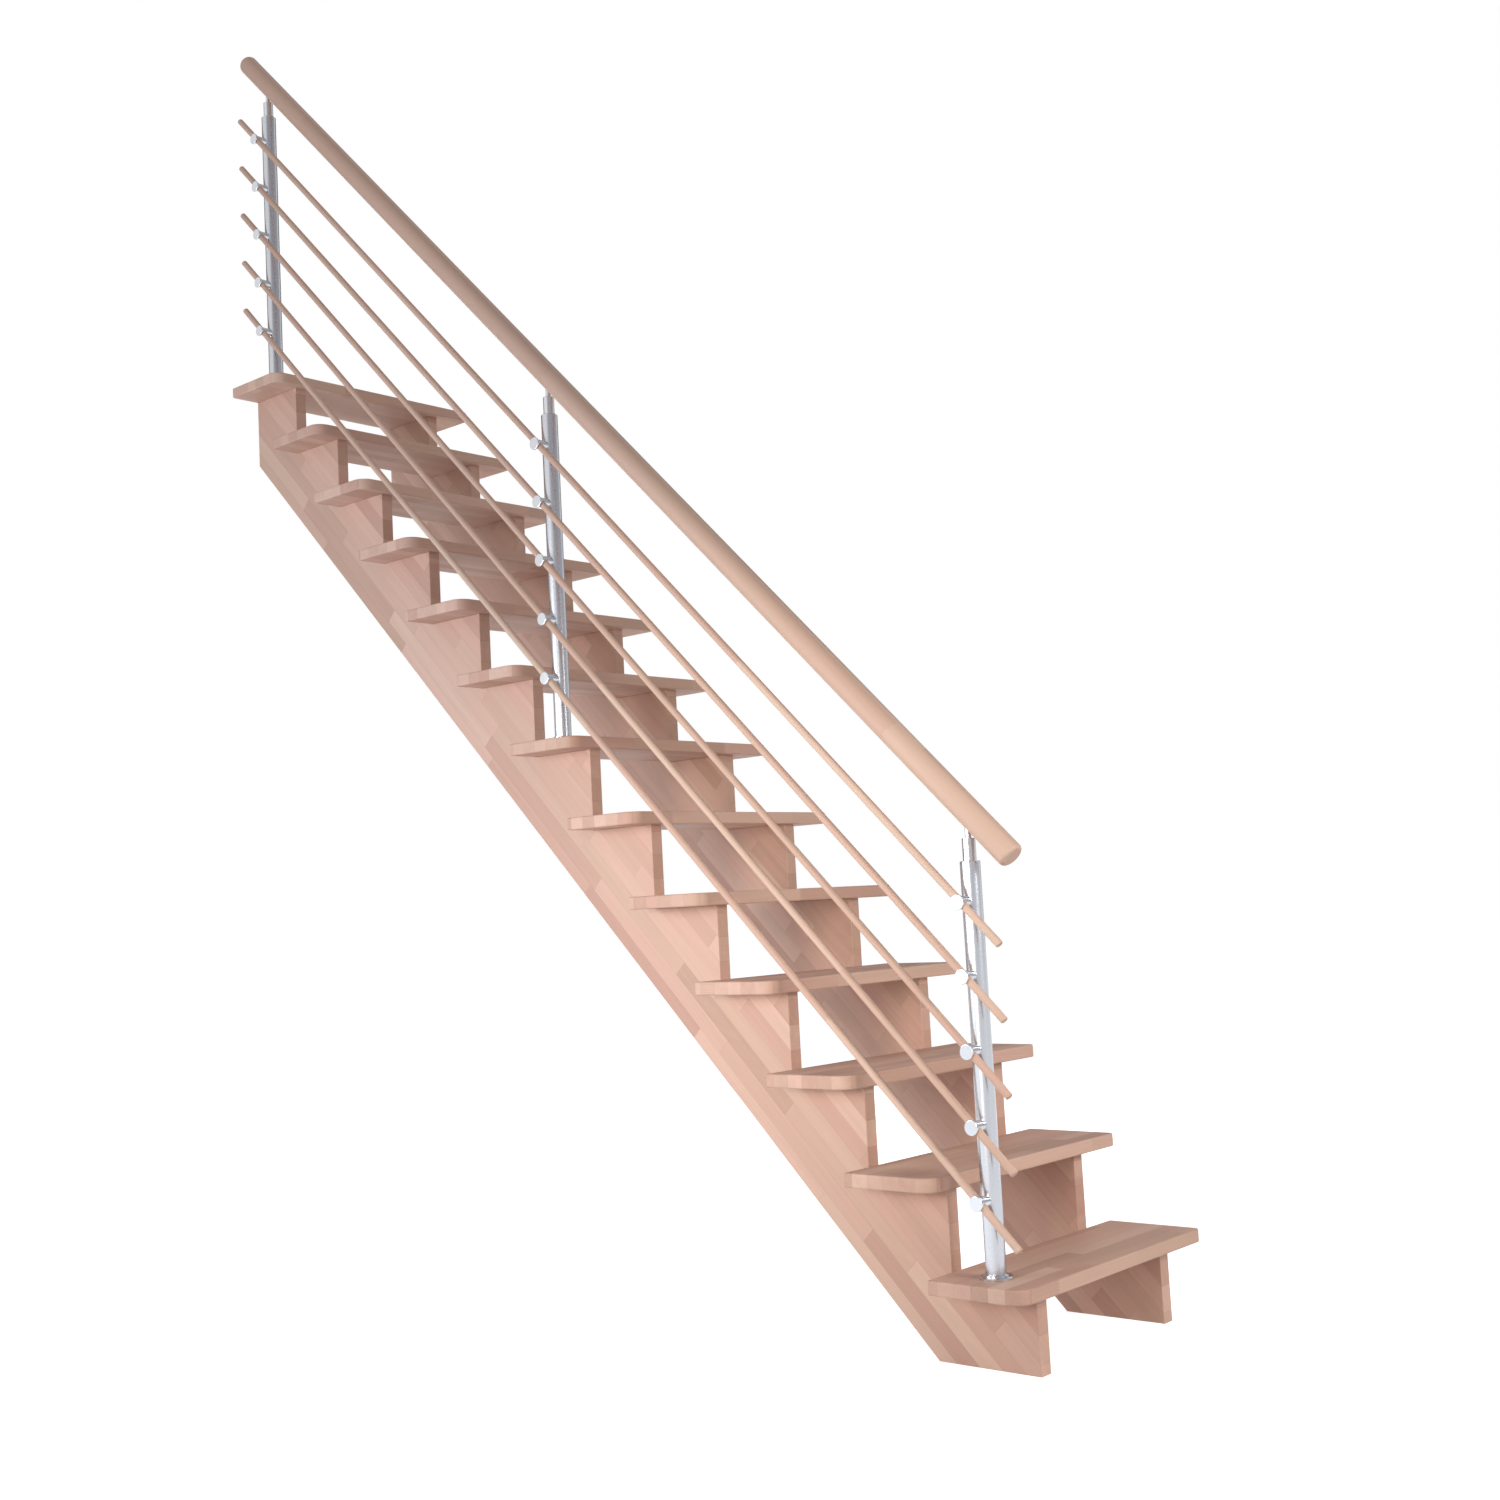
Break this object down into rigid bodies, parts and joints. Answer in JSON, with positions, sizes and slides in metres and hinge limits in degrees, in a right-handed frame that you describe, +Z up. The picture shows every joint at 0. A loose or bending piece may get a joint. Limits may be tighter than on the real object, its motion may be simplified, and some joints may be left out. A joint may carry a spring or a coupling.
{
  "type": "straight open-riser wooden staircase with one railing",
  "caption": "Straight open-riser beech flight: boards on two saw-tooth stringers, with a railing of metal posts, round wooden rods and a round handrail on one side.",
  "frame": {"origin": "on the top tread's back edge, the flat face that meets the landing one rise below the upper floor, midway between the two stringers", "axes": "+Z up, +X level from the head of the flight towards its foot, +Y to the right of someone who climbs it; the floor is at z = -2.760 m"},
  "size_m": [2.829, 0.772, 3.9102],
  "materials": {
    "tread_wood": "edge-glued, finger-jointed beech staves, sanded, no lacquer",
    "stringer_wood": "edge-glued beech staves laid along the slope, sanded, no lacquer",
    "rail_wood": "turned beech, sanded",
    "post_metal": "satin tube",
    "fitting_metal": "turned, satin"
  },
  "bodies": {
    "root": {"tread_01": "tread_wood", "tread_02": "tread_wood", "tread_03": "tread_wood", "tread_04": "tread_wood", "tread_05": "tread_wood", "tread_06": "tread_wood", "tread_07": "tread_wood", "tread_08": "tread_wood", "tread_09": "tread_wood", "tread_10": "tread_wood", "tread_11": "tread_wood", "tread_12": "tread_wood", "tread_13": "tread_wood", "stringer_left": "stringer_wood", "stringer_right": "stringer_wood", "handrail": "rail_wood", "rod_1": "rail_wood", "rod_2": "rail_wood", "rod_3": "rail_wood", "rod_4": "rail_wood", "rod_5": "rail_wood", "post_lower": "post_metal", "post_middle": "post_metal", "post_upper": "post_metal", "flange_lower": "fitting_metal", "flange_middle": "fitting_metal", "flange_upper": "fitting_metal", "stem_lower": "fitting_metal", "stem_middle": "fitting_metal", "stem_upper": "fitting_metal", "holder_lower_1": "fitting_metal", "holder_lower_2": "fitting_metal", "holder_lower_3": "fitting_metal", "holder_lower_4": "fitting_metal", "holder_lower_5": "fitting_metal", "holder_middle_1": "fitting_metal", "holder_middle_2": "fitting_metal", "holder_middle_3": "fitting_metal", "holder_middle_4": "fitting_metal", "holder_middle_5": "fitting_metal", "holder_upper_1": "fitting_metal", "holder_upper_2": "fitting_metal", "holder_upper_3": "fitting_metal", "holder_upper_4": "fitting_metal", "holder_upper_5": "fitting_metal"}
  },
  "joints": []
}
